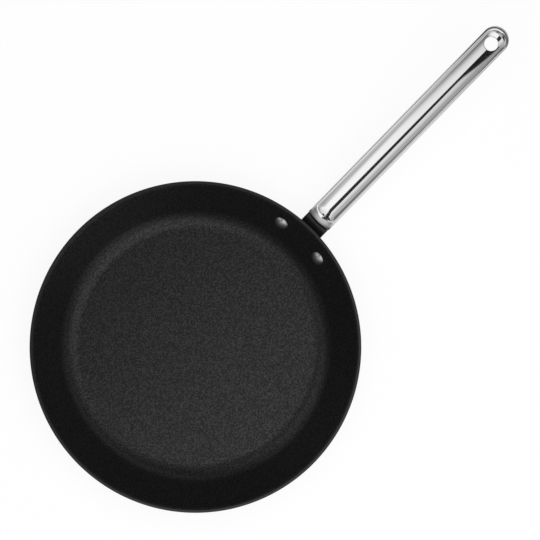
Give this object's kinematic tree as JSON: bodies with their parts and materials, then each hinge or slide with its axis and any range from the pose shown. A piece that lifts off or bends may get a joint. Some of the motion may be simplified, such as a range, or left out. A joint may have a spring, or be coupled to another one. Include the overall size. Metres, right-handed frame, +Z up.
{
  "type": "frying pan",
  "caption": "Black non-stick frying pan with a flared side, a riveted black bracket and a bright hollow steel handle with a hanging hole.",
  "frame": {"origin": "centre of the underside, where the pan rests on the hob", "axes": "+Z up, +X along the handle"},
  "size_m": [0.5282, 0.29, 0.0862],
  "materials": {
    "body_black": "satin",
    "nonstick": "satin",
    "base_steel": "satin",
    "bracket_black": "satin",
    "rivet_metal": "satin",
    "handle_steel": "polished",
    "pin_steel": "satin"
  },
  "bodies": {
    "root": {"pan_body": "body_black", "nonstick_lining": "nonstick", "induction_disc": "base_steel", "handle_bracket": "bracket_black", "rivet_left": "rivet_metal", "rivet_right": "rivet_metal", "handle_top_shell": "handle_steel", "handle_bottom_shell": "handle_steel", "handle_pin": "pin_steel", "hanging_eyelet": "handle_steel"}
  },
  "joints": []
}
